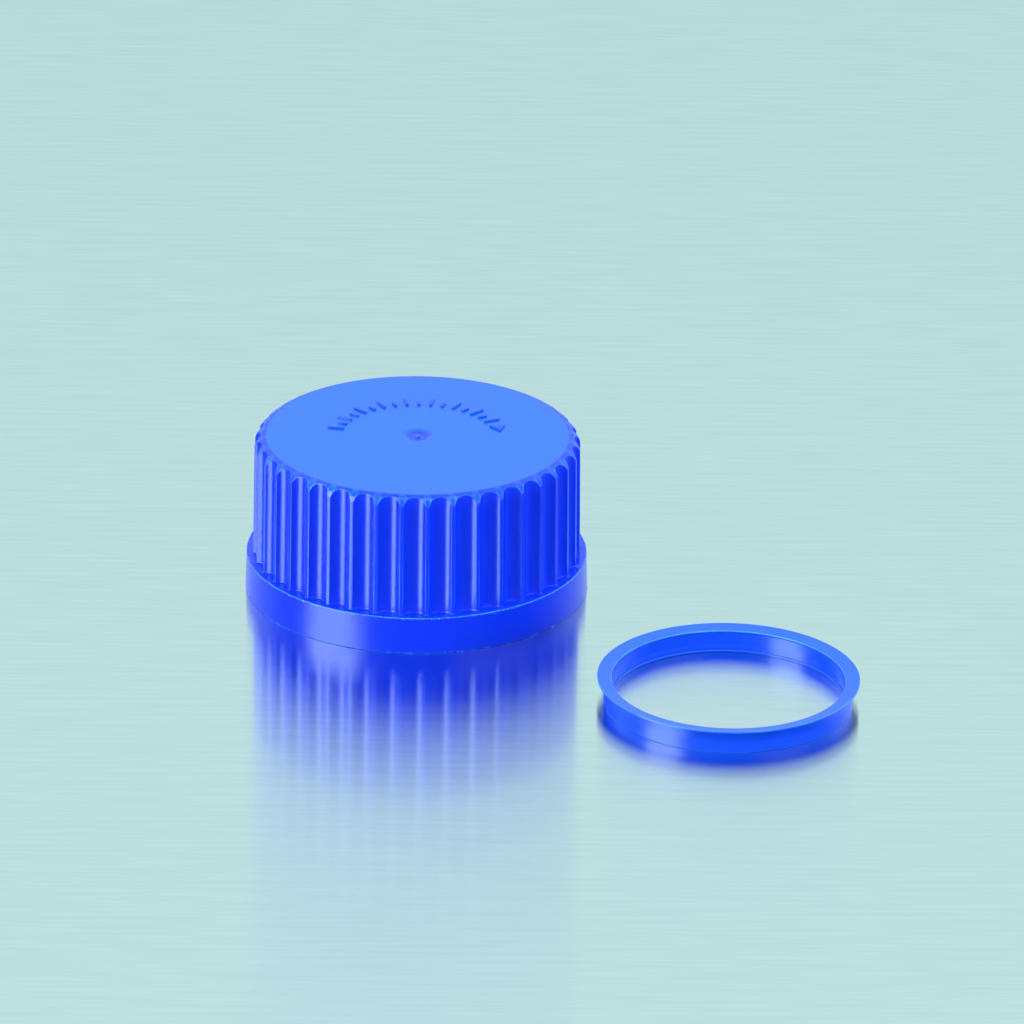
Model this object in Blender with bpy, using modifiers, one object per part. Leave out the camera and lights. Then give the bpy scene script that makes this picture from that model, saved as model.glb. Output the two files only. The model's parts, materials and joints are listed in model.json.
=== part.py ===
"""Screw closure and pouring ring of a laboratory bottle with a 45 mm neck thread.

Two loose mouldings lie side by side on a bench: the fluted screw cap, mouth down, and
the pouring ring that snaps over the bottle's lip. Metres, +Z up. The origin is on the
bench, at the middle of the pair's footprint.
"""
import math

import bmesh
import bpy

MM = 0.001

# Screw cap: what fits the bottle neck
THREAD_ROOT_RADIUS = 22.85 * MM     # inner wall, between the turns
THREAD_DEPTH = 1.7 * MM
THREAD_PITCH = 4.0 * MM
THREAD_TURNS = 2.25
THREAD_ROOT_WIDTH = 2.3 * MM
THREAD_CREST_WIDTH = 0.9 * MM
SEAL_LIP_RADIUS = 15.3 * MM         # plugs the mouth of the neck
SEAL_LIP_WIDTH = 0.9 * MM
SEAL_LIP_TIP_WIDTH = 0.35 * MM
SEAL_LIP_DEPTH = 3.0 * MM

# Screw cap: shell
CAP_HEIGHT = 25.5 * MM
TOP_THICKNESS = 2.0 * MM
WALL = 1.95 * MM                    # thinnest, behind a flute, at the collar
SHOULDER_FILLET = 2.0 * MM
SEAT_FILLET = 0.6 * MM
COLLAR_HEIGHT = 5.9 * MM
COLLAR_LEDGE = 1.15 * MM            # how far the collar's foot stands out from the ridges
COLLAR_WALL = 2.1 * MM
COLLAR_DRAFT = 0.15 * MM            # how much narrower the collar is at its top
EDGE_BREAK = 0.25 * MM

# Screw cap: grip flutes
FLUTE_COUNT = 40
FLUTE_DEPTH = 1.05 * MM
RIDGE_TIP_RADIUS = 0.2 * MM
FLUTE_DRAFT = math.radians(0.75)

# Screw cap: gate mark and turning mark on the top
GATE_RADIUS = 2.5 * MM
GATE_DEPTH = 0.35 * MM
PIP_RADIUS = 0.45 * MM
PIP_HEIGHT = 0.3 * MM
MARK_HEIGHT = 0.2 * MM
MARK_RADIUS = 11.7 * MM
TICK_LENGTHS = (2.6 * MM, 1.5 * MM)  # long and short ones take turns
TICK_WIDTH = 0.55 * MM
TICK_COUNT = 17
TICK_STEP = math.radians(9)
TICK_START = math.radians(171)
ARROW_RADIUS = 1.5 * MM

# Pouring ring
RING_BORE_RADIUS = 18.0 * MM
RING_WALL = 1.15 * MM
RING_HEIGHT = 3.96 * MM             # to the highest edge of the drip lip
DRIP_LIP_WIDTH = 2.3 * MM           # from the mouth's edge to the outer edge
DRIP_LIP_RISE = 0.39 * MM
DRIP_LIP_EDGE = 0.35 * MM
MOUTH_FLARE = 0.15 * MM             # the wall thickens inwards under the lip
WAIST = 0.12 * MM
BEAD = 0.25 * MM                    # how far the snap bead stands in
BEAD_HEIGHT = 0.55 * MM
FOOT_CHAMFER = 0.35 * MM

# How the two lie beside each other
SET_GAP = 17.4 * MM                 # from the collar to the drip lip
SET_BEARING = math.radians(-41.3)   # direction from the cap to the ring

# Polypropylene coloured blue in the melt
CAP_COLOUR = (0.02, 0.10, 0.85)
RING_COLOUR = (0.03, 0.13, 0.88)
PLASTIC_ROUGHNESS = 0.3

# Facets
TURN_FACETS = 80
THREAD_FACETS = 40
ROUND_FACETS = 24
FILLET_FACETS = 5
FLUTE_FACETS = 7
TIP_FACETS = 3                      # odd, so that no edge lies on the blank's edge at the ridge
MERGE_DISTANCE = 0.00001
CUT_OVERRUN = 1.5 * MM              # how far a cutter reaches past what it cuts
BLANK_STEP = 0.1 * MM               # keeps the blank's corners off the cutter's faces
THREAD_EMBED = 0.4 * MM             # how far the thread's root sinks into the wall
THREAD_START = math.radians(2.25)   # keeps the thread's facet edges off the wall's
GATE_TURN = math.radians(0.75)      # keeps the dimple's facet edges off the top's

# What follows from the sizes above
FLUTE_FLOOR_RADIUS = THREAD_ROOT_RADIUS + WALL
RIDGE_RADIUS = FLUTE_FLOOR_RADIUS + FLUTE_DEPTH
COLLAR_RADIUS = RIDGE_RADIUS + COLLAR_LEDGE
THREAD_CREST_RADIUS = THREAD_ROOT_RADIUS - THREAD_DEPTH
COLLAR_BORE_RADIUS = COLLAR_RADIUS - COLLAR_WALL
WEB_WIDTH = COLLAR_BORE_RADIUS - THREAD_ROOT_RADIUS
WEB_HEIGHT = COLLAR_HEIGHT - WEB_WIDTH / 2     # where the collar's bore has narrowed to the thread wall
SEAT_HEIGHT = CAP_HEIGHT - TOP_THICKNESS
RING_OUTER_RADIUS = RING_BORE_RADIUS + RING_WALL
MOUTH_RADIUS = RING_BORE_RADIUS - MOUTH_FLARE
DRIP_LIP_RADIUS = MOUTH_RADIUS + DRIP_LIP_WIDTH


def clear_scene():
    for leftover in list(bpy.data.objects):
        bpy.data.objects.remove(leftover, do_unlink=True)


def make_collection(name):
    collection = bpy.data.collections.new(name)
    bpy.context.scene.collection.children.link(collection)
    return collection


def plastic(name, colour, roughness):
    material = bpy.data.materials.new(name)
    material.use_nodes = True
    shader = material.node_tree.nodes["Principled BSDF"]
    shader.inputs["Base Color"].default_value = (*colour, 1.0)
    shader.inputs["Roughness"].default_value = roughness
    shader.inputs["Metallic"].default_value = 0.0
    return material


def add_object(name, mesh, collection):
    piece = bpy.data.objects.new(name, mesh)
    collection.objects.link(piece)
    return piece


def add_cutter(name, mesh, collection):
    cutter = add_object(name, mesh, collection)
    cutter.hide_render = True
    cutter.display_type = "WIRE"
    return cutter


def arc(centre, radius, start, end, facets):
    """Points of an arc in the half section, as (radius, height), angles in degrees."""
    points = []
    for step in range(facets + 1):
        angle = math.radians(start + (end - start) * step / facets)
        points.append((centre[0] + radius * math.cos(angle), centre[1] + radius * math.sin(angle)))
    return points


def turned(name, profile, collection, closed):
    """A profile of (radius, height) points turned round the Z axis."""
    mesh = bpy.data.meshes.new(name)
    count = len(profile)
    edges = [(index, index + 1) for index in range(count - 1)]
    if closed:
        edges.append((count - 1, 0))
    mesh.from_pydata([(radius, 0.0, height) for radius, height in profile], edges, [])
    piece = add_object(name, mesh, collection)
    screw = piece.modifiers.new("turn", "SCREW")
    screw.axis = "Z"
    screw.steps = TURN_FACETS
    screw.render_steps = TURN_FACETS
    screw.use_merge_vertices = True
    screw.merge_threshold = MERGE_DISTANCE
    screw.use_smooth_shade = True
    return piece


def cut(piece, cutter):
    boolean = piece.modifiers.new("cut " + cutter.name, "BOOLEAN")
    boolean.operation = "DIFFERENCE"
    boolean.solver = "EXACT"
    boolean.object = cutter


def join(piece, addition):
    boolean = piece.modifiers.new("join " + addition.name, "BOOLEAN")
    boolean.operation = "UNION"
    boolean.solver = "EXACT"
    boolean.object = addition


def cap_profile():
    """Half section of the cap before the flutes are cut, from the top's middle round to the inside's."""
    ridge_inset = math.tan(FLUTE_DRAFT) * (CAP_HEIGHT - SHOULDER_FILLET - COLLAR_HEIGHT)
    shoulder_radius = RIDGE_RADIUS - ridge_inset + BLANK_STEP / 2
    shoulder_centre = (shoulder_radius - SHOULDER_FILLET, CAP_HEIGHT - SHOULDER_FILLET)
    collar_top_radius = COLLAR_RADIUS - COLLAR_DRAFT
    blank_radius = collar_top_radius - EDGE_BREAK - BLANK_STEP
    lip_inner_radius = SEAL_LIP_RADIUS - SEAL_LIP_WIDTH
    lip_tip_height = SEAT_HEIGHT - SEAL_LIP_DEPTH
    lip_tip_radius = SEAL_LIP_RADIUS - (SEAL_LIP_WIDTH - SEAL_LIP_TIP_WIDTH) / 2
    profile = [(0.0, CAP_HEIGHT)]
    profile += arc(shoulder_centre, SHOULDER_FILLET, 90, 0, FILLET_FACETS)
    profile += [
        (blank_radius, shoulder_centre[1] - BLANK_STEP),
        (blank_radius, COLLAR_HEIGHT + BLANK_STEP),
        (collar_top_radius, COLLAR_HEIGHT - EDGE_BREAK),
        (COLLAR_RADIUS, EDGE_BREAK),
        (COLLAR_RADIUS - EDGE_BREAK, 0.0),
        (COLLAR_BORE_RADIUS + EDGE_BREAK, 0.0),
        (COLLAR_BORE_RADIUS, EDGE_BREAK),
        (COLLAR_BORE_RADIUS, WEB_HEIGHT - WEB_WIDTH),
        (THREAD_ROOT_RADIUS, WEB_HEIGHT),
        (THREAD_ROOT_RADIUS, SEAT_HEIGHT - SEAT_FILLET),
        (THREAD_ROOT_RADIUS - SEAT_FILLET, SEAT_HEIGHT),
        (SEAL_LIP_RADIUS, SEAT_HEIGHT),
        (lip_tip_radius, lip_tip_height),
        (lip_tip_radius - SEAL_LIP_TIP_WIDTH, lip_tip_height),
        (lip_inner_radius, SEAT_HEIGHT),
        (0.0, SEAT_HEIGHT),
    ]
    return profile


def flute_radius(floor_radius, ridge_radius):
    """Radius of a flute's arc that runs smoothly into the rounded tips on both sides of it."""
    tip_centre = ridge_radius - RIDGE_TIP_RADIUS
    level = tip_centre * math.cos(math.pi / FLUTE_COUNT)
    spread = RIDGE_TIP_RADIUS**2 - floor_radius**2 - tip_centre**2 + 2 * floor_radius * level
    return spread / (2 * (floor_radius - level - RIDGE_TIP_RADIUS))


def flute_outline(inset):
    """The fluted outline round the grip, as (x, y) points, drawn in by the draft's inset."""
    floor_radius = FLUTE_FLOOR_RADIUS - inset
    tip_centre = RIDGE_RADIUS - inset - RIDGE_TIP_RADIUS
    radius = flute_radius(floor_radius, RIDGE_RADIUS - inset)
    flute_centre = floor_radius + radius
    half_pitch = math.pi / FLUTE_COUNT
    # direction, at the flute's centre, of the point where the arc meets the tip's rounding
    across = tip_centre * math.sin(half_pitch)
    inward = flute_centre - tip_centre * math.cos(half_pitch)
    reach = math.atan2(across, inward)
    tip_reach = reach + half_pitch
    points = []
    for flute in range(FLUTE_COUNT):
        middle = (2 * flute + 1) * half_pitch
        for step in range(FLUTE_FACETS + 1):
            swing = reach * (2 * step / FLUTE_FACETS - 1)
            x = flute_centre - radius * math.cos(swing)
            y = radius * math.sin(swing)
            points.append(turn_point(x, y, middle))
        for step in range(1, TIP_FACETS):
            swing = tip_reach * (2 * step / TIP_FACETS - 1)
            x = tip_centre + RIDGE_TIP_RADIUS * math.cos(swing)
            y = RIDGE_TIP_RADIUS * math.sin(swing)
            points.append(turn_point(x, y, middle + half_pitch))
    return points


def turn_point(x, y, angle):
    return (x * math.cos(angle) - y * math.sin(angle), x * math.sin(angle) + y * math.cos(angle))


def flute_cutter(collection):
    """A ring whose bore is the fluted grip: it takes away all that is outside it above the collar."""
    low = COLLAR_HEIGHT
    high = CAP_HEIGHT + CUT_OVERRUN
    outer_radius = COLLAR_RADIUS + CUT_OVERRUN
    low_outline = flute_outline(0.0)
    high_outline = flute_outline(math.tan(FLUTE_DRAFT) * (high - low))
    shell = bmesh.new()
    loops = []
    for height, outline, is_bore in (
        (low, low_outline, True),
        (high, high_outline, True),
        (high, high_outline, False),
        (low, low_outline, False),
    ):
        corners = []
        for x, y in outline:
            scale = 1.0 if is_bore else outer_radius / math.hypot(x, y)
            corners.append(shell.verts.new((x * scale, y * scale, height)))
        loops.append(corners)
    for index, loop in enumerate(loops):
        last = loops[index - 1]
        for side in range(len(loop)):
            shell.faces.new((last[side - 1], last[side], loop[side], loop[side - 1]))
    bmesh.ops.recalc_face_normals(shell, faces=shell.faces)
    mesh = bpy.data.meshes.new("flute_cutter")
    shell.to_mesh(mesh)
    shell.free()
    return add_cutter("flute_cutter", mesh, collection)


def gate_cutter(collection):
    """A ball that leaves the shallow round dimple at the moulding gate."""
    ball_radius = (GATE_RADIUS**2 + GATE_DEPTH**2) / (2 * GATE_DEPTH)
    ball = bmesh.new()
    bmesh.ops.create_uvsphere(ball, u_segments=ROUND_FACETS, v_segments=ROUND_FACETS, radius=ball_radius)
    mesh = bpy.data.meshes.new("gate_cutter")
    ball.to_mesh(mesh)
    ball.free()
    cutter = add_cutter("gate_cutter", mesh, collection)
    cutter.location = (0.0, 0.0, CAP_HEIGHT - GATE_DEPTH + ball_radius)
    cutter.rotation_euler = (0.0, 0.0, GATE_TURN)
    return cutter


def top_marks(collection):
    """The gate's pip, the row of ticks and the arrow that shows which way the cap closes."""
    marks = bmesh.new()
    gate_floor = CAP_HEIGHT - GATE_DEPTH
    pip = bmesh.ops.create_cone(
        marks, cap_ends=True, segments=ROUND_FACETS // 2, radius1=PIP_RADIUS, radius2=PIP_RADIUS / 2,
        depth=2 * PIP_HEIGHT)
    bmesh.ops.translate(marks, verts=pip["verts"], vec=(0.0, 0.0, gate_floor))
    turn_mesh(marks, pip["verts"], math.pi / ROUND_FACETS)
    for index in range(TICK_COUNT):
        length = TICK_LENGTHS[index % len(TICK_LENGTHS)]
        tick = bmesh.ops.create_cube(marks, size=1.0)
        bmesh.ops.scale(marks, verts=tick["verts"], vec=(length, TICK_WIDTH, 2 * MARK_HEIGHT))
        place_mark(marks, tick["verts"], MARK_RADIUS + length / 2, TICK_START - index * TICK_STEP)
    arrow = bmesh.ops.create_cone(
        marks, cap_ends=True, segments=3, radius1=ARROW_RADIUS, radius2=ARROW_RADIUS, depth=2 * MARK_HEIGHT)
    arrow_radius = MARK_RADIUS + TICK_LENGTHS[0] / 2
    turn_mesh(marks, arrow["verts"], math.pi)
    place_mark(marks, arrow["verts"], arrow_radius, TICK_START - (TICK_COUNT + 0.5) * TICK_STEP)
    mesh = bpy.data.meshes.new("top_marks")
    marks.to_mesh(mesh)
    marks.free()
    return add_cutter("top_marks", mesh, collection)


def turn_mesh(mesh, corners, angle):
    for corner in corners:
        x, y = turn_point(corner.co.x, corner.co.y, angle)
        corner.co.x = x
        corner.co.y = y


def place_mark(mesh, corners, radius, angle):
    """Moves a mark's corners out along the X axis, up to the cap's top and round to its angle."""
    bmesh.ops.translate(mesh, verts=corners, vec=(radius, 0.0, CAP_HEIGHT))
    turn_mesh(mesh, corners, angle)


def thread_solid(collection):
    """The helical thread ridge, its root sunk into the wall and both ends closed."""
    root = THREAD_ROOT_RADIUS + THREAD_EMBED
    flank = (THREAD_ROOT_WIDTH - THREAD_CREST_WIDTH) / 2
    slope = flank / THREAD_DEPTH
    root_half = THREAD_ROOT_WIDTH / 2 + slope * THREAD_EMBED
    crest_half = THREAD_CREST_WIDTH / 2
    section = [
        (root, root_half),
        (root, -root_half),
        (THREAD_CREST_RADIUS, -crest_half),
        (THREAD_CREST_RADIUS, crest_half),
    ]
    guide = turned("thread_guide", section, collection, True)
    screw = guide.modifiers["turn"]
    screw.angle = 2 * math.pi * THREAD_TURNS
    screw.screw_offset = THREAD_PITCH * THREAD_TURNS
    screw.steps = int(THREAD_FACETS * THREAD_TURNS)
    screw.render_steps = screw.steps
    screw.use_merge_vertices = False
    depsgraph = bpy.context.evaluated_depsgraph_get()
    mesh = bpy.data.meshes.new_from_object(guide.evaluated_get(depsgraph))
    bpy.data.objects.remove(guide, do_unlink=True)
    ridge = bmesh.new()
    ridge.from_mesh(mesh)
    open_edges = [edge for edge in ridge.edges if edge.is_boundary]
    bmesh.ops.holes_fill(ridge, edges=open_edges, sides=len(section))
    bmesh.ops.recalc_face_normals(ridge, faces=ridge.faces)
    ridge.to_mesh(mesh)
    ridge.free()
    thread = add_cutter("thread", mesh, collection)
    thread.location = (0.0, 0.0, WEB_HEIGHT + THREAD_ROOT_WIDTH)
    thread.rotation_euler = (0.0, 0.0, THREAD_START)
    return thread


def ring_profile():
    """Section of the pouring ring, from the drip lip's upper edge down its outside and back up its bore."""
    lip_underside = RING_HEIGHT - DRIP_LIP_EDGE
    root_height = lip_underside - DRIP_LIP_RISE - DRIP_LIP_EDGE
    waist_height = root_height / 2
    mouth_height = RING_HEIGHT - DRIP_LIP_RISE
    bead_radius = RING_BORE_RADIUS - BEAD
    return [
        (DRIP_LIP_RADIUS, RING_HEIGHT),
        (DRIP_LIP_RADIUS, lip_underside),
        (RING_OUTER_RADIUS + DRIP_LIP_EDGE, root_height + DRIP_LIP_EDGE),
        (RING_OUTER_RADIUS, root_height),
        (RING_OUTER_RADIUS - WAIST, waist_height),
        (RING_OUTER_RADIUS, FOOT_CHAMFER),
        (RING_OUTER_RADIUS - EDGE_BREAK / 2, 0.0),
        (RING_BORE_RADIUS + FOOT_CHAMFER / 2, 0.0),
        (bead_radius, FOOT_CHAMFER),
        (bead_radius, BEAD_HEIGHT),
        (RING_BORE_RADIUS, BEAD_HEIGHT + 2 * BEAD),
        (RING_BORE_RADIUS, mouth_height - DRIP_LIP_EDGE),
        (MOUTH_RADIUS, mouth_height),
    ]


def set_places():
    """Bench places of the cap and the ring, with the pair's footprint centred on the origin."""
    reach = COLLAR_RADIUS + SET_GAP + DRIP_LIP_RADIUS
    cap_place = []
    ring_place = []
    for offset in (reach * math.cos(SET_BEARING), reach * math.sin(SET_BEARING)):
        low = min(-COLLAR_RADIUS, offset - DRIP_LIP_RADIUS)
        high = max(COLLAR_RADIUS, offset + DRIP_LIP_RADIUS)
        cap_place.append(-(low + high) / 2)
        ring_place.append(offset - (low + high) / 2)
    return (*cap_place, 0.0), (*ring_place, 0.0)


def make_screw_cap(collection, cutters, place):
    cap = turned("screw_cap", cap_profile(), collection, False)
    cap.location = place
    cap.data.materials.append(plastic("cap_polypropylene", CAP_COLOUR, PLASTIC_ROUGHNESS))
    flutes = flute_cutter(cutters)
    gate = gate_cutter(cutters)
    marks = top_marks(cutters)
    thread = thread_solid(cutters)
    for tool in (flutes, gate, marks, thread):
        tool.parent = cap
    cut(cap, flutes)
    cut(cap, gate)
    join(cap, marks)
    join(cap, thread)


def make_pouring_ring(collection, place):
    ring = turned("pouring_ring", ring_profile(), collection, True)
    ring.location = place
    ring.data.materials.append(plastic("ring_polypropylene", RING_COLOUR, PLASTIC_ROUGHNESS))


def main():
    clear_scene()
    parts = make_collection("bottle_closure_set")
    cutters = make_collection("cutters")
    cap_place, ring_place = set_places()
    make_screw_cap(parts, cutters, cap_place)
    make_pouring_ring(parts, ring_place)


main()
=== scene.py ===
import json
import math

import bmesh
import bpy
from mathutils import Matrix, Vector, noise


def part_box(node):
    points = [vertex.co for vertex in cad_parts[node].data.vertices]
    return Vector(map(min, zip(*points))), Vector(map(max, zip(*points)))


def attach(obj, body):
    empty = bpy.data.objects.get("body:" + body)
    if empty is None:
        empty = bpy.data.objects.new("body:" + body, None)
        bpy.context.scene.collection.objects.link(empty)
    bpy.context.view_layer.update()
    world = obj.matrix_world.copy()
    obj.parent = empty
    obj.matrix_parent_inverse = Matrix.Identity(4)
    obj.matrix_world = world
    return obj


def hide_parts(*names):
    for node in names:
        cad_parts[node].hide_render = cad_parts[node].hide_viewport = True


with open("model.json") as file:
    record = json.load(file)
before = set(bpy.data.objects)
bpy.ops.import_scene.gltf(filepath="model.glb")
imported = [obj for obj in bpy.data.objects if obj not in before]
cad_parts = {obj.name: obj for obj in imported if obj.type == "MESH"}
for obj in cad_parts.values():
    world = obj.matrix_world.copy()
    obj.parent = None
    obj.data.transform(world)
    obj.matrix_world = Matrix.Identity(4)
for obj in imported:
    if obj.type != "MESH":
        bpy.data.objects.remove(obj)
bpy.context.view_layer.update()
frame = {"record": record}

MM = 0.001

# Places and heights that the frame sets
MOUNTS = {mount["name"]: Vector(mount["pos_m"]) for mount in frame["record"]["mounts"]}
TOP = MOUNTS["cap_top"].z
SEAT = MOUNTS["neck_seat"].z

# Screw cap, as moulded
FLUTES = 40
RIDGE_RADIUS = 25.85 * MM        # at the foot of the grip
FLUTE_DEPTH = 1.05 * MM
LAND_WIDTH = 0.42 * MM           # flat along a ridge, between its two rounded edges
EDGE_RADIUS = 0.14 * MM
DRAFT = math.tan(math.radians(0.75))
SHOULDER = 2.0 * MM
SHOULDER_MARGIN = 0.03 * MM      # keeps the shoulder's arc outside the ridges, so that they meet
ARCH_ROUNDING = 0.16 * MM
FOOT_ROUNDING = 0.3 * MM
LEDGE = 5.9 * MM
COLLAR_RADIUS = 27.0 * MM
COLLAR_TOP_RADIUS = 26.85 * MM
COLLAR_BORE = 24.9 * MM
UPRIGHT_HEIGHT = 0.4 * MM        # above this the collar's outside leans in
LEDGE_ROUNDING = 0.14 * MM
FLASH_WAVE = 0.04 * MM           # waviness of the collar's two edges
FLASH_WAVE_SCALES = (900, 2600)  # waves in a metre, slow and quick
FLASH_SPECK = 0.35 * MM          # and the specks that stand out of them
FLASH_SPECK_SCALE = 1700
FLASH_START = 0.32               # noise below this makes no speck
THREAD_ROOT = 22.85 * MM
THREAD_CREST = 21.15 * MM
THREAD_PITCH = 4.0 * MM
THREAD_TURNS = 2.25
THREAD_START = 2.3 * MM          # height of the thread's first turn above the collar's web
THREAD_FOOT = 1.35 * MM          # half the ridge's width where it leaves the wall
THREAD_LAND = 0.45 * MM          # half the width of its crest
THREAD_ROOTING = 0.3 * MM        # how deep the ridge is let into the wall
THREAD_RUN_OUT = 1 / 8           # share of a turn over which each end sinks into the wall
INSIDE_ROUNDING = 0.6 * MM
SEAL_RADIUS = 15.3 * MM          # outside of the seal lip, at its root
SEAL_DEPTH = 3.0 * MM
SEAL_TAPER = 0.27 * MM           # how far each face of the lip closes in towards its tip
SEAL_WIDTH = 0.9 * MM            # at its root
SEAL_ROUNDING = 0.12 * MM
TOP_DISC = 22.6 * MM             # where the grip's rings end on the flat top
TOP_JOINT = 18.0 * MM            # where the top's own rings start
RIM_JOINT = 26.2 * MM            # where the outside ends on the flat of the rim
GATE_RADIUS = 2.5 * MM
GATE_DEPTH = 0.36 * MM
DIMPLE_ROUNDING = 1.2 * MM
PIP_RADIUS = 0.4 * MM
PIP_HEIGHT = 0.26 * MM
DISC_EDGE = 23.67 * MM           # where the flat turns over into the shoulder
SINK_RADIUS = 15.2 * MM          # the faint shrink mark over the seal lip
SINK_WIDTH = 1.6 * MM
SINK_DEPTH = 0.012 * MM
SINK_STEPS = 8
MARK_RADIUS = 11.7 * MM
MARK_HEIGHT = 0.28 * MM
TICKS = 17
TICK_LENGTHS = (2.6 * MM, 1.5 * MM)
TICK_WIDTH = 0.5 * MM
TICK_STEP = math.radians(9)
TICK_START = math.radians(171)
ARROW_RADIUS = 1.5 * MM
MARK_BEVEL = 0.05 * MM

# Pouring ring
RING_BORE = 18.0 * MM
RING_WALL = 1.15 * MM
LIP_OUTER = 20.15 * MM
LIP_MOUTH = 17.85 * MM
LIP_RISE = 0.39 * MM
LIP_EDGE = 0.35 * MM
WAIST = 0.12 * MM                # how far the ring's outside draws in half way up
WAIST_HEIGHT = 1.9 * MM
BEAD = 0.25 * MM                 # how far the snap bead stands into the bore
BEAD_HEIGHT = 0.3 * MM
STEP = 0.05 * MM                 # the slighter step above the bead
STEP_HEIGHT = 0.75 * MM
BORE_START = 1.3 * MM
SHARP = 0.05 * MM                # rounding that a sharp moulded edge still has

# Facets
ARC_STEPS = 16                   # across a flute
EDGE_STEPS = 4                   # round each edge of a ridge
SHOULDER_STEPS = 8
ROUND_STEPS = 5
WALL_STEPS = 8
FOOT_STEPS = 5
TOP_STEPS = 96
INSIDE_STEPS = 288
RING_STEPS = 360
THREAD_STEPS = 96                # in one turn
SETTLING_ROUNDS = 8              # to find where the leaning wall meets the shoulder
SMOOTH_ANGLE = math.radians(40)
WEAR_AND_HIGHLIGHT_START = 0.03                # mean outward bend of an edge, as a sine, where its paler tone (wear and painted highlight) starts
WEAR_AND_HIGHLIGHT_FULL = 0.12
MERGE = 0.001 * MM
HOLD = 0.12 * MM                 # distance of the holding loops beside a rounding


# ---------------------------------------------------------------- small helpers

def pick(*pieces):
    """Selects these pieces and nothing else, and makes the first one active."""
    bpy.ops.object.select_all(action="DESELECT")
    for piece in pieces:
        piece.select_set(True)
    bpy.context.view_layer.objects.active = pieces[0]


def active_as(name):
    piece = bpy.context.active_object
    piece.name = name
    piece.data.name = name
    return piece


def start_edit(piece, select=True):
    pick(piece)
    bpy.ops.object.mode_set(mode="EDIT")
    bpy.ops.mesh.select_mode(type="VERT")
    bpy.ops.mesh.select_all(action="SELECT" if select else "DESELECT")


def end_edit():
    bpy.ops.object.mode_set(mode="OBJECT")


def apply_modifier(piece, kind, **settings):
    pick(piece)
    modifier = piece.modifiers.new(kind.lower(), kind)
    for name, value in settings.items():
        setattr(modifier, name, value)
    bpy.ops.object.modifier_apply(modifier=modifier.name)


def centre_of(node):
    low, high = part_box(node)
    return Vector(((low.x + high.x) / 2, (low.y + high.y) / 2, low.z))


def turn(x, y, angle):
    return x * math.cos(angle) - y * math.sin(angle), x * math.sin(angle) + y * math.cos(angle)


# ---------------------------------------------------------------- outlines

def soften(corners, closed=False):
    """An outline of (radius, height) points. Each corner is (radius, height, rounding): the rounding
    becomes an arc, with a holding point on the straight beside each end of it."""
    outline = []
    count = len(corners)
    for index, (radius, height, rounding) in enumerate(corners):
        corner = Vector((radius, height))
        at_end = not closed and index in (0, count - 1)
        if rounding == 0 or at_end:
            outline.append(corner)
            continue
        back = Vector(corners[index - 1][:2]) - corner
        on = Vector(corners[(index + 1) % count][:2]) - corner
        bend = math.pi - back.angle(on)
        tangent = rounding * math.tan(bend / 2)
        start = corner + back.normalized() * tangent
        finish = corner + on.normalized() * tangent
        inward = (back.normalized() + on.normalized()).normalized()
        middle = corner + inward * rounding / math.cos(bend / 2)
        side = 1 if back.x * on.y - back.y * on.x < 0 else -1
        if back.length > tangent + 2 * HOLD:
            outline.append(start + back.normalized() * HOLD)
        for step in range(ROUND_STEPS + 1):
            swing = Matrix.Rotation(side * bend * step / ROUND_STEPS, 2)
            outline.append(middle + swing @ (start - middle))
        if on.length > tangent + 2 * HOLD:
            outline.append(finish + on.normalized() * HOLD)
    return outline


def spin_outline(name, outline, steps, closed=False):
    """Spins an outline once round the Z axis, as a lathe would turn it."""
    mesh = bpy.data.meshes.new(name)
    count = len(outline)
    links = [(index, index + 1) for index in range(count - 1)]
    if closed:
        links.append((count - 1, 0))
    mesh.from_pydata([(point.x, 0.0, point.y) for point in outline], links, [])
    piece = bpy.data.objects.new(name, mesh)
    bpy.context.scene.collection.objects.link(piece)
    start_edit(piece)
    bpy.ops.mesh.spin(steps=steps, angle=2 * math.pi, center=(0, 0, 0), axis=(0, 0, 1), use_auto_merge=True)
    bpy.ops.mesh.select_all(action="SELECT")
    bpy.ops.mesh.remove_doubles(threshold=MERGE)
    end_edit()
    return piece


# ---------------------------------------------------------------- grip flutes

def flute_columns():
    """One flute's plan at the foot of the grip, from the middle of one ridge to the middle of the
    next, as (point, outward direction)."""
    half_pitch = math.pi / FLUTES
    edge_angle = half_pitch - LAND_WIDTH / 2 / RIDGE_RADIUS
    floor_radius = RIDGE_RADIUS - FLUTE_DEPTH
    edge_centre = RIDGE_RADIUS - EDGE_RADIUS
    level = edge_centre * math.cos(edge_angle)
    spread = EDGE_RADIUS**2 - floor_radius**2 - edge_centre**2 + 2 * floor_radius * level
    radius = spread / (2 * (floor_radius - level - EDGE_RADIUS))
    centre = floor_radius + radius
    reach = math.atan2(edge_centre * math.sin(edge_angle), centre - level)
    columns = []
    for step in range(ARC_STEPS + 1):
        swing = reach * (2 * step / ARC_STEPS - 1)
        point = Vector((centre - radius * math.cos(swing), radius * math.sin(swing)))
        columns.append((point, Vector((math.cos(swing), -math.sin(swing)))))
    ends = []
    for step in range(1, EDGE_STEPS + 1):
        swing = (reach + edge_angle) * (step / EDGE_STEPS - 1)
        rim = Vector((edge_centre + EDGE_RADIUS * math.cos(swing), EDGE_RADIUS * math.sin(swing)))
        outward = Vector((math.cos(swing), math.sin(swing)))
        ends.append((Vector(turn(*rim, edge_angle)), Vector(turn(*outward, edge_angle))))
    outward = Vector((math.cos(half_pitch), math.sin(half_pitch)))
    ends.append((outward * RIDGE_RADIUS, outward))
    for point, outward in ends:
        columns.append((point, outward))
        columns.insert(0, (Vector((point.x, -point.y)), Vector((outward.x, -outward.y))))
    return columns


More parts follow.
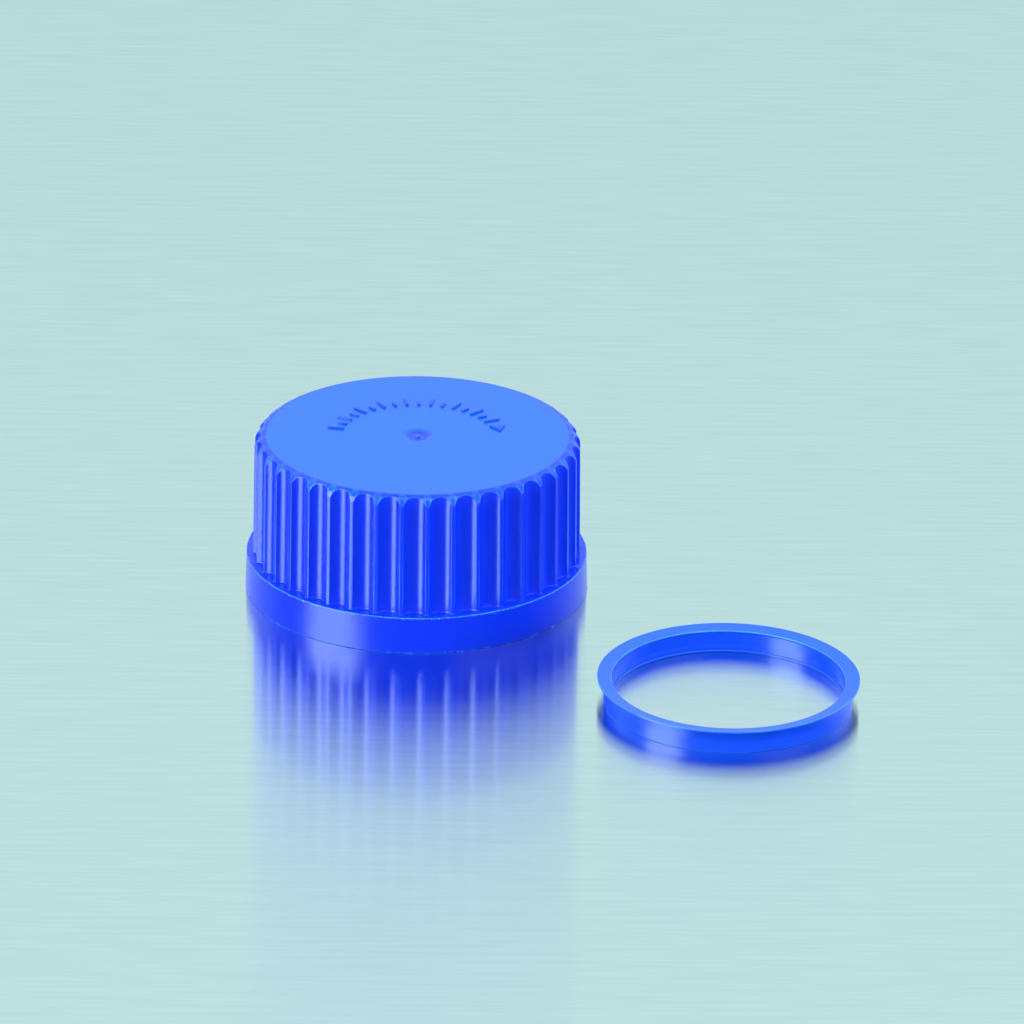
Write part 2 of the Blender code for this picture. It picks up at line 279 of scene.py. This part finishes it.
def shoulder_point(angle):
    """(radius, height) on the shoulder's arc, by its angle above the level."""
    inset = DRAFT * (TOP - SHOULDER - LEDGE)
    centre = RIDGE_RADIUS - inset + SHOULDER_MARGIN - SHOULDER
    return Vector((centre + SHOULDER * math.cos(angle), TOP - SHOULDER + SHOULDER * math.sin(angle)))


def shoulder_angle(radius):
    return math.acos(min(1.0, (radius - shoulder_point(math.pi / 2).x) / SHOULDER))


def flute_column(point, outward, collar):
    """One column of the cap's skin, from the flat top over the shoulder, down the grip, out over the
    ledge and down the collar to its rim."""
    foot_radius = point.length
    along = point.normalized()
    angle = shoulder_angle(foot_radius)
    for _ in range(SETTLING_ROUNDS):
        height = shoulder_point(angle).y
        angle = shoulder_angle(foot_radius * (1 - DRAFT * (height - LEDGE) / RIDGE_RADIUS))
    corner = shoulder_point(angle)
    turn_in = min(ARCH_ROUNDING / SHOULDER, (math.pi / 2 - angle) / 2)
    section = [Vector((TOP_DISC, TOP)), Vector((shoulder_point(math.pi / 2).x - HOLD, TOP))]
    for step in range(SHOULDER_STEPS + 1):
        rise = math.pi / 2 + (angle + turn_in - math.pi / 2) * step / SHOULDER_STEPS
        section.append(shoulder_point(rise))
    start = section[-1]
    slope = -DRAFT * foot_radius / RIDGE_RADIUS
    finish = Vector((corner.x - slope * ARCH_ROUNDING, corner.y - ARCH_ROUNDING))
    for step in range(1, ROUND_STEPS + 1):
        share = step / ROUND_STEPS
        section.append(start * (1 - share)**2 + corner * 2 * share * (1 - share) + finish * share**2)
    foot_top = LEDGE + FOOT_ROUNDING
    for step in range(1, WALL_STEPS + 1):
        height = finish.y + (foot_top - finish.y) * step / WALL_STEPS
        section.append(Vector((foot_radius + slope * (height - LEDGE), height)))
    column = [Vector((*(along * spot.x), spot.y)) for spot in section]
    for step in range(1, FOOT_STEPS + 1):
        swing = math.pi / 2 * step / FOOT_STEPS
        out = point + outward * FOOT_ROUNDING * (1 - math.cos(swing))
        column.append(Vector((*out, foot_top - FOOT_ROUNDING * math.sin(swing))))
    outer = Vector(column[-1].xy).normalized()
    column += [Vector((*(outer * spot.x), spot.y)) for spot in collar]
    return column


def collar_section():
    """Outside of the collar, from the ledge to the flat of its rim. The points without a rounding
    only hold the wall straight beside its two edges."""
    return soften([
        (COLLAR_TOP_RADIUS - 0.6 * MM, LEDGE, 0),
        (COLLAR_TOP_RADIUS, LEDGE, LEDGE_ROUNDING),
        (COLLAR_TOP_RADIUS, LEDGE - 0.3 * MM, 0),
        (COLLAR_TOP_RADIUS, LEDGE - 0.5 * MM, 0),
        (COLLAR_RADIUS, UPRIGHT_HEIGHT, 0),
        (COLLAR_RADIUS, UPRIGHT_HEIGHT / 2, 0),
        (COLLAR_RADIUS, 0.0, SHARP),
        (RIM_JOINT, 0.0, 0),
    ])[1:]


def make_grip():
    """One flute from a grid, spun round in copies until the grip closes on itself."""
    collar = collar_section()
    columns = [flute_column(point, outward, collar) for point, outward in flute_columns()]
    across = len(columns) - 1
    down = len(columns[0]) - 1
    bpy.ops.object.select_all(action="DESELECT")
    bpy.ops.mesh.primitive_grid_add(x_subdivisions=across, y_subdivisions=down, size=1)
    grip = active_as("screw_cap_body")
    for corner in grip.data.vertices:
        column = round((corner.co.x + 0.5) * across)
        row = round((corner.co.y + 0.5) * down)
        corner.co = columns[column][row]
    start_edit(grip)
    bpy.ops.mesh.spin(
        steps=FLUTES - 1, dupli=True, angle=2 * math.pi * (FLUTES - 1) / FLUTES,
        center=(0, 0, 0), axis=(0, 0, 1))
    bpy.ops.mesh.select_all(action="SELECT")
    bpy.ops.mesh.remove_doubles(threshold=MERGE)
    end_edit()
    return grip


# ---------------------------------------------------------------- screw cap

def make_top():
    """The flat top's middle: shrink mark, gate dimple and the pip that the gate left."""
    outline = [Vector((TOP_JOINT, TOP))]
    for step in range(SINK_STEPS + 1):
        offset = 2 * step / SINK_STEPS - 1
        dip = SINK_DEPTH * (1 + math.cos(math.pi * offset)) / 2
        outline.append(Vector((SINK_RADIUS - offset * SINK_WIDTH, TOP - dip)))
    outline.append(Vector((MARK_RADIUS, TOP)))
    floor = TOP - GATE_DEPTH
    outline += soften([
        (MARK_RADIUS, TOP, 0),
        (GATE_RADIUS, TOP, DIMPLE_ROUNDING),
        (GATE_RADIUS / 2, floor, DIMPLE_ROUNDING),
        (PIP_RADIUS, floor, SHARP),
        (PIP_RADIUS - 0.06 * MM, floor + PIP_HEIGHT - 0.02 * MM, 0.08 * MM),
        (0.0, floor + PIP_HEIGHT, 0),
    ])[1:]
    return spin_outline("top", outline, TOP_STEPS)


def make_inside():
    """The whole inside, from the flat of the collar's rim to the middle of the ceiling."""
    web = LEDGE - (COLLAR_BORE - THREAD_ROOT) / 2
    tip = SEAT - SEAL_DEPTH
    outline = soften([
        (RIM_JOINT - 0.5 * MM, 0.0, 0),
        (COLLAR_BORE, 0.0, 0.25 * MM),
        (COLLAR_BORE, web - (COLLAR_BORE - THREAD_ROOT), INSIDE_ROUNDING),
        (THREAD_ROOT, web, INSIDE_ROUNDING),
        (THREAD_ROOT, SEAT, INSIDE_ROUNDING),
        (SEAL_RADIUS, SEAT, 0.25 * MM),
        (SEAL_RADIUS - SEAL_TAPER, tip, SEAL_ROUNDING),
        (SEAL_RADIUS - SEAL_WIDTH + 0.28 * MM, tip, SEAL_ROUNDING),
        (SEAL_RADIUS - SEAL_WIDTH, SEAT, 0.3 * MM),
        (0.0, SEAT, 0),
    ])
    return spin_outline("inside", outline, INSIDE_STEPS)


def fill_band(piece, height):
    """Closes the flat band between the two open rims that lie at this height."""
    start_edit(piece, select=False)
    bpy.ops.mesh.select_mode(type="EDGE")
    skin = bmesh.from_edit_mesh(piece.data)
    for edge in skin.edges:
        edge.select_set(edge.is_boundary and abs(edge.verts[0].co.z - height) < 2 * MERGE)
    bmesh.update_edit_mesh(piece.data)
    bpy.ops.mesh.fill(use_beauty=False)
    end_edit()


def make_marks():
    """Raised ticks and an arrowhead that show which way the cap closes."""
    marks = []
    for index in range(TICKS):
        length = TICK_LENGTHS[index % len(TICK_LENGTHS)]
        angle = TICK_START - index * TICK_STEP
        x, y = turn(MARK_RADIUS + length / 2, 0.0, angle)
        bpy.ops.object.select_all(action="DESELECT")
        bpy.ops.mesh.primitive_cube_add(
            size=1, location=(x, y, TOP), rotation=(0, 0, angle),
            scale=(length, TICK_WIDTH, 2 * MARK_HEIGHT))
        bpy.ops.object.transform_apply(location=True, rotation=True, scale=True)
        marks.append(active_as("tick"))
    angle = TICK_START - (TICKS + 0.5) * TICK_STEP
    x, y = turn(MARK_RADIUS + TICK_LENGTHS[0] / 2, 0.0, angle)
    bpy.ops.mesh.primitive_cylinder_add(
        vertices=3, radius=ARROW_RADIUS, depth=2 * MARK_HEIGHT, location=(x, y, TOP),
        rotation=(0, 0, angle - math.pi))
    bpy.ops.object.transform_apply(location=True, rotation=True, scale=True)
    marks.append(active_as("arrow"))
    pick(*marks)
    bpy.ops.object.join()
    row = active_as("marks")
    apply_modifier(row, "BEVEL", width=MARK_BEVEL, segments=3, limit_method="ANGLE")
    return row


def make_thread():
    """The inner thread's ridge, wound up the wall and run out into it at both ends."""
    root = THREAD_ROOT + THREAD_ROOTING
    web = LEDGE - (COLLAR_BORE - THREAD_ROOT) / 2
    outline = soften([
        (root, THREAD_FOOT, 0),
        (THREAD_CREST, THREAD_LAND, 0.25 * MM),
        (THREAD_CREST, -THREAD_LAND, 0.25 * MM),
        (root, -THREAD_FOOT, 0),
    ])
    mesh = bpy.data.meshes.new("thread")
    count = len(outline)
    links = [(index, (index + 1) % count) for index in range(count)]
    mesh.from_pydata([(point.x, 0.0, point.y) for point in outline], links, [])
    thread = bpy.data.objects.new("thread", mesh)
    bpy.context.scene.collection.objects.link(thread)
    steps = int(THREAD_STEPS * THREAD_TURNS)
    apply_modifier(
        thread, "SCREW", axis="Z", angle=2 * math.pi * THREAD_TURNS,
        screw_offset=THREAD_PITCH * THREAD_TURNS, steps=steps, render_steps=steps)
    run_out = THREAD_STEPS * THREAD_RUN_OUT
    for index, corner in enumerate(thread.data.vertices):
        step = index // count
        buried = max(0.0, 1 - min(step, steps - step) / run_out)
        radius = math.hypot(corner.co.x, corner.co.y)
        wanted = radius + (root - radius) * buried**2 * 0.9
        corner.co.x *= wanted / radius
        corner.co.y *= wanted / radius
        corner.co.z += web + THREAD_START
    start_edit(thread)
    bpy.ops.mesh.select_non_manifold()
    bpy.ops.mesh.edge_face_add()
    bpy.ops.mesh.select_all(action="SELECT")
    bpy.ops.mesh.normals_make_consistent(inside=False)
    end_edit()
    return thread


def roughen_collar(cap):
    """The collar's two outer edges are a little uneven where the mould halves meet."""
    for corner in cap.data.vertices:
        radius = math.hypot(corner.co.x, corner.co.y)
        height = corner.co.z
        by_ledge = LEDGE - 0.25 * MM < height < LEDGE + 0.05 * MM and radius > COLLAR_TOP_RADIUS - 0.35 * MM
        by_rim = height < 0.15 * MM and radius > COLLAR_RADIUS - 0.4 * MM
        if by_ledge or by_rim:
            slow, quick = (noise.noise(corner.co * scale) for scale in FLASH_WAVE_SCALES)
            wave = slow + 0.5 * quick
            speck = max(noise.noise(corner.co * FLASH_SPECK_SCALE) - FLASH_START, 0.0)
            shift = wave * FLASH_WAVE + speck * FLASH_SPECK
            corner.co.x += corner.co.x / radius * shift
            corner.co.y += corner.co.y / radius * shift


def mark_wear_and_highlight(piece):
    """Stores how far each corner of the mesh stands out from its neighbours: the paler edges, partly
    rubbing wear and partly a painted highlight.
    """
    mesh = piece.data
    bend = [0.0] * len(mesh.vertices)
    links = [0] * len(mesh.vertices)
    for link in mesh.edges:
        for here, there in (link.vertices, reversed(link.vertices)):
            along = (mesh.vertices[there].co - mesh.vertices[here].co).normalized()
            bend[here] -= along.dot(mesh.vertices[here].normal)
            links[here] += 1
    wear_and_highlight = mesh.attributes.new("wear_and_highlight", "FLOAT", "POINT")
    for index, corner in enumerate(wear_and_highlight.data):
        outward = bend[index] / max(links[index], 1)
        if mesh.vertices[index].co.z < TOP + MERGE:
            corner.value = min(max((outward - WEAR_AND_HIGHLIGHT_START) / (WEAR_AND_HIGHLIGHT_FULL - WEAR_AND_HIGHLIGHT_START), 0.0), 1.0)


def settle(piece, place, material):
    """Moves the finished mesh to its place on the bench, smooths it and gives it its material."""
    piece.data.transform(Matrix.Translation(place))
    piece.data.materials.clear()
    piece.data.materials.append(material)
    mark_wear_and_highlight(piece)
    pick(piece)
    bpy.ops.object.shade_smooth_by_angle(angle=SMOOTH_ANGLE)


def make_screw_cap(material):
    cap = make_grip()
    pick(cap, make_top(), make_inside())
    bpy.ops.object.join()
    fill_band(cap, TOP)
    fill_band(cap, 0.0)
    start_edit(cap)
    bpy.ops.mesh.normals_make_consistent(inside=False)
    end_edit()
    roughen_collar(cap)
    for addition in (make_marks(), make_thread()):
        apply_modifier(cap, "BOOLEAN", operation="UNION", solver="EXACT", object=addition)
        bpy.data.objects.remove(addition, do_unlink=True)
    settle(cap, centre_of("screw_cap"), material)
    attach(cap, "cap")
    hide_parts("screw_cap")


# ---------------------------------------------------------------- pouring ring

def make_pouring_ring(material):
    """The ring is turned in one go: flared drip lip, waisted outside, foot, snap bead and bore."""
    top = MOUNTS["ring_foot"].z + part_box("pouring_ring")[1].z
    mouth = top - LIP_RISE
    outer = RING_BORE + RING_WALL
    outline = soften([
        (LIP_OUTER, top, 0.06 * MM),
        (LIP_OUTER - 0.03 * MM, top - LIP_EDGE, 0.08 * MM),
        (outer + 0.05 * MM, mouth - 0.16 * MM, 0.3 * MM),
        (outer - WAIST, WAIST_HEIGHT, 2.5 * MM),
        (outer, 0.0, SHARP),
        (RING_BORE - BEAD, 0.0, 0.04 * MM),
        (RING_BORE - BEAD, BEAD_HEIGHT, 0.08 * MM),
        (RING_BORE - STEP, BEAD_HEIGHT + 0.08 * MM, SHARP),
        (RING_BORE - STEP, STEP_HEIGHT, 0.3 * MM),
        (RING_BORE, BORE_START, 0.5 * MM),
        (RING_BORE, mouth - 0.4 * MM, 0.4 * MM),
        (LIP_MOUTH, mouth, 0.14 * MM),
    ], closed=True)
    ring = spin_outline("pouring_ring_body", outline, RING_STEPS, closed=True)
    start_edit(ring)
    bpy.ops.mesh.normals_make_consistent(inside=False)
    end_edit()
    settle(ring, centre_of("pouring_ring"), material)
    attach(ring, "ring")
    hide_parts("pouring_ring")


# ---------------------------------------------------------------- materials

POLYPROPYLENE_IOR = 1.49
SEMI_GLOSS = (0.17, 0.25)        # lowest and highest roughness of the skin
# pale blue on outward edges: partly rubbing wear, partly a painted highlight
WORN_AND_HIGHLIT_BLUE = "3C8CE6"
CAP_BLUES = ("031FA8", "0423AE")
# paler, greener blue painted on the cap's flat top: a painted highlight for the light it catches from above
CAP_DISC_PAINTED_LIGHT_BLUE = "053CB2"
RING_BLUES = ("0634B4", "0839BE")
SHEET_TINTS = ("DDE3E1", "EBF1EF")
ROOM_COLOUR = "DAFAFD"
WINDOW_COLOUR = "DAF8FF"


def linear(hex_colour):
    """A colour written as sRGB hex, turned linear for a shader."""
    channels = [int(hex_colour[index:index + 2], 16) / 255 for index in (0, 2, 4)]
    turned = [
        value / 12.92 if value <= 0.04045 else ((value + 0.055) / 1.055)**2.4
        for value in channels]
    return (*turned, 1.0)


def add_node(tree, kind, inputs=None, **settings):
    """Adds a node. Each input takes a value, or a socket of another node to link to."""
    node = tree.nodes.new(kind)
    for name, value in settings.items():
        setattr(node, name, value)
    for name, value in (inputs or {}).items():
        if isinstance(value, bpy.types.NodeSocket):
            tree.links.new(value, node.inputs[name])
        else:
            node.inputs[name].default_value = value
    return node


def start_material(name):
    material = bpy.data.materials.new(name)
    material.use_nodes = True
    tree = material.node_tree
    tree.nodes.clear()
    return material, tree


def moulded_polypropylene(name, blues, painted_light_disc=None):
    """Polypropylene dyed in the melt and moulded in a polished tool: deep saturated blue with a soft waxy
    gloss, a slow flow mottle, the faint orange peel of a shrunken skin and paler edges, partly where it
    rubs and partly a painted highlight along every outward edge. On a cap, the flat disc on top is painted
    paler and greener than the rest, a painted highlight for the light it catches from above; its dimple and
    the tops of its marks are mostly left out of it and keep the deep blue, which paints them darker as
    painted shade."""
    material, tree = start_material(name)
    place = add_node(tree, "ShaderNodeTexCoord").outputs["Object"]
    flow = add_node(tree, "ShaderNodeTexNoise", {"Vector": place, "Scale": 1 / (9 * MM), "Detail": 3.0})
    colour = add_node(tree, "ShaderNodeMix", {
        "Factor": flow.outputs["Fac"], "A": linear(blues[0]), "B": linear(blues[1])},
        data_type="RGBA")
    if painted_light_disc:
        # Painted light on the top disc: the paler blue fills the flat inside the disc edge as a painted
        # highlight. It fades out down into the dimple and mostly off the tops of the marks, so these keep
        # the deep blue as painted shade.
        low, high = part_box("screw_cap")
        from_axis = add_node(tree, "ShaderNodeMapping", {
            "Vector": place, "Location": (-(low.x + high.x) / 2, -(low.y + high.y) / 2, 0.0),
            "Scale": (1.0, 1.0, 0.0)})
        radius = add_node(tree, "ShaderNodeVectorMath", {
            0: from_axis.outputs["Vector"]}, operation="LENGTH")
        inside = add_node(tree, "ShaderNodeMapRange", {
            "Value": radius.outputs["Value"], "From Min": DISC_EDGE + 0.25 * MM, "From Max": DISC_EDGE})
        height = add_node(tree, "ShaderNodeSeparateXYZ", {"Vector": place})
        over_dimple = add_node(tree, "ShaderNodeMapRange", {
            "Value": height.outputs["Z"], "From Min": TOP - 0.3 * MM, "From Max": TOP - 0.04 * MM})
        under_marks = add_node(tree, "ShaderNodeMapRange", {
            "Value": height.outputs["Z"], "From Min": TOP + 0.04 * MM, "From Max": TOP + 0.2 * MM,
            "To Min": 1.0, "To Max": 0.3})
        painted_light_on_disc = add_node(tree, "ShaderNodeMath", {
            0: inside.outputs["Result"], 1: over_dimple.outputs["Result"]}, operation="MULTIPLY")
        painted_light_on_disc = add_node(tree, "ShaderNodeMath", {
            0: painted_light_on_disc.outputs["Value"], 1: under_marks.outputs["Result"]}, operation="MULTIPLY")
        colour = add_node(tree, "ShaderNodeMix", {
            "Factor": painted_light_on_disc.outputs["Value"], "A": colour.outputs["Result"], "B": linear(painted_light_disc)},
            data_type="RGBA")
    # Paler edges: partly rubbing wear, partly a painted highlight along every outward edge, broken into
    # patches.
    wear_and_highlight = add_node(tree, "ShaderNodeAttribute", attribute_name="wear_and_highlight")
    patches = add_node(tree, "ShaderNodeTexNoise", {"Vector": place, "Scale": 1 / (5 * MM), "Detail": 3.0})
    edge = add_node(tree, "ShaderNodeMath", {
        0: wear_and_highlight.outputs["Fac"], 1: patches.outputs["Fac"]}, operation="MULTIPLY")
    colour = add_node(tree, "ShaderNodeMix", {
        "Factor": edge.outputs["Value"], "A": colour.outputs["Result"], "B": linear(WORN_AND_HIGHLIT_BLUE)},
        data_type="RGBA")
    gloss = add_node(tree, "ShaderNodeTexNoise", {"Vector": place, "Scale": 1 / (1.6 * MM), "Detail": 4.0})
    rough = add_node(tree, "ShaderNodeMapRange", {
        "Value": gloss.outputs["Fac"], "To Min": SEMI_GLOSS[0], "To Max": SEMI_GLOSS[1]})
    peel = add_node(tree, "ShaderNodeTexNoise", {"Vector": place, "Scale": 1 / (0.7 * MM), "Detail": 2.0})
    bump = add_node(tree, "ShaderNodeBump", {
        "Height": peel.outputs["Fac"], "Strength": 0.25, "Distance": 0.01 * MM})
    skin = add_node(tree, "ShaderNodeBsdfPrincipled", {
        "Base Color": colour.outputs["Result"], "Roughness": rough.outputs["Result"],
        "Normal": bump.outputs["Normal"], "IOR": POLYPROPYLENE_IOR})
    add_node(tree, "ShaderNodeOutputMaterial", {"Surface": skin.outputs["BSDF"]})
    return material


def bench_metal():
    """Fine-brushed pale sheet metal: mirrors what stands on it, softly, and draws the mirror image out
    across its grain, with a thinner, clearer image where the brushing left it polished. The grain is
    drawn coarser than real brushing, so that it shows."""
    material, tree = start_material("brushed_pale_sheet_metal")
    place = add_node(tree, "ShaderNodeTexCoord").outputs["Object"]
    along = add_node(tree, "ShaderNodeMapping", {"Vector": place, "Scale": (60.0, 900.0, 1.0)})
    grain = add_node(tree, "ShaderNodeTexNoise", {
        "Vector": along.outputs["Vector"], "Scale": 1.0, "Detail": 2.0})
    tint = add_node(tree, "ShaderNodeMix", {
        "Factor": grain.outputs["Fac"], "A": linear(SHEET_TINTS[0]), "B": linear(SHEET_TINTS[1])},
        data_type="RGBA")
    rough = add_node(tree, "ShaderNodeMapRange", {
        "Value": grain.outputs["Fac"], "To Min": 0.232, "To Max": 0.248})
    across = add_node(tree, "ShaderNodeTangent", direction_type="UV_MAP")
    brushed = add_node(tree, "ShaderNodeBsdfAnisotropic", {
        "Color": tint.outputs["Result"], "Roughness": rough.outputs["Result"], "Anisotropy": 0.7,
        "Tangent": across.outputs["Tangent"]}, distribution="BECKMANN")
    polished = add_node(tree, "ShaderNodeBsdfAnisotropic", {
        "Color": tint.outputs["Result"], "Roughness": 0.11, "Anisotropy": 0.5,
        "Tangent": across.outputs["Tangent"]}, distribution="BECKMANN")
    sheet = add_node(tree, "ShaderNodeMixShader", {
        "Fac": 0.15, 1: brushed.outputs["BSDF"], 2: polished.outputs["BSDF"]})
    add_node(tree, "ShaderNodeOutputMaterial", {"Surface": sheet.outputs["Shader"]})
    return material


# ---------------------------------------------------------------- stage, lights, camera

FLOOR_SIZE = 12.0
FLOOR_GAP = 0.02 * MM            # keeps the floor clear of the flat rims that stand on it
PANEL_DISTANCE = 1.6
CAMERA_PLACE = Vector((-5.85 * MM, -1138.2 * MM, 512.2 * MM))
CAMERA_DIP = 0.408               # radians below the level
CAMERA_ROLL = 0.014


def make_stage():
    bpy.ops.object.select_all(action="DESELECT")
    bpy.ops.mesh.primitive_plane_add(size=FLOOR_SIZE, location=(0, 0, -FLOOR_GAP))
    floor = active_as("floor")
    floor.data.materials.append(bench_metal())


def add_panel(name, target, direction, distance, size, power):
    """A soft light panel in this direction from the target, facing it."""
    bpy.ops.object.light_add(type="AREA", location=target + direction * distance)
    panel = bpy.context.active_object
    panel.name = name
    panel.rotation_euler = direction.to_track_quat("Z", "Y").to_euler()
    panel.data.shape = "RECTANGLE"
    panel.data.size, panel.data.size_y = size
    panel.data.energy = power
    panel.visible_camera = False
    return panel


def make_studio():
    """A pale room with a bright backdrop behind the pieces, a dim front above a bright low band, a
    window on the left and three lamps that light the pieces without showing in their gloss."""
    world = bpy.data.worlds.new("studio")
    bpy.context.scene.world = world
    world.use_nodes = True
    tree = world.node_tree
    sky = tree.nodes["Background"]
    direction = add_node(tree, "ShaderNodeTexCoord").outputs["Generated"]
    parts = add_node(tree, "ShaderNodeSeparateXYZ", {"Vector": direction})
    horizon = add_node(tree, "ShaderNodeMapRange", {
        "Value": parts.outputs["Z"], "From Min": 0.22, "From Max": 0.38, "To Min": 0.85, "To Max": 0.06},
        interpolation_type="SMOOTHSTEP")
    behind = add_node(tree, "ShaderNodeMapRange", {
        "Value": parts.outputs["Y"], "From Min": -0.1, "From Max": 0.6}, interpolation_type="SMOOTHSTEP")
    rising = add_node(tree, "ShaderNodeMapRange", {
        "Value": parts.outputs["Z"], "From Min": 0.3, "From Max": 0.75, "To Min": 0.8, "To Max": 1.24})
    below_edge = add_node(tree, "ShaderNodeMapRange", {
        "Value": parts.outputs["Z"], "From Min": 0.78, "From Max": 0.92, "To Min": 1.0, "To Max": 0.04},
        interpolation_type="SMOOTHSTEP")
    backdrop = add_node(tree, "ShaderNodeMath", {
        0: rising.outputs["Result"], 1: below_edge.outputs["Result"]}, operation="MULTIPLY")
    strength = add_node(tree, "ShaderNodeMix", {
        "Factor": behind.outputs["Result"], "A": horizon.outputs["Result"],
        "B": backdrop.outputs["Value"]})
    tree.links.new(strength.outputs["Result"], sky.inputs["Strength"])
    sky.inputs["Color"].default_value = linear(ROOM_COLOUR)
    middle = Vector((0, 0, TOP / 2))
    side = Vector((-0.787, -0.473, 0.397))
    window = add_panel("window", middle, side, 0.6, (0.34, 0.5), 4.6)
    window.data.color = linear(WINDOW_COLOUR)[:3]
    for name, direction, size, power in (
            ("ceiling", Vector((0, 0, 1)), 0.9, 64.0),
            ("left_fill", side, 1.4, 28.0),
            ("right_fill", Vector((0.8, -0.5, 0.33)), 1.6, 74.0)):
        panel = add_panel(name, middle, direction, PANEL_DISTANCE, (size, size), power)
        panel.visible_glossy = False


def make_camera():
    """A long lens from the front and above, so that both pieces show in nearly parallel lines."""
    lens = bpy.data.cameras.new("camera")
    lens.lens = 281.0
    lens.sensor_width = 36.0
    lens.clip_start = 0.01
    lens.clip_end = 100.0
    camera = bpy.data.objects.new("camera", lens)
    bpy.context.scene.collection.objects.link(camera)
    tilt = Matrix.Rotation(math.pi / 2 - CAMERA_DIP, 4, "X")
    roll = Matrix.Rotation(CAMERA_ROLL, 4, "Z")
    camera.matrix_world = Matrix.Translation(CAMERA_PLACE) @ tilt @ roll
    bpy.context.scene.camera = camera


def main():
    bpy.context.scene.view_settings.view_transform = "Standard"
    make_screw_cap(moulded_polypropylene("moulded_polypropylene_cap", CAP_BLUES, CAP_DISC_PAINTED_LIGHT_BLUE))
    make_pouring_ring(moulded_polypropylene("moulded_polypropylene_ring", RING_BLUES))
    make_stage()
    make_studio()
    make_camera()


main()
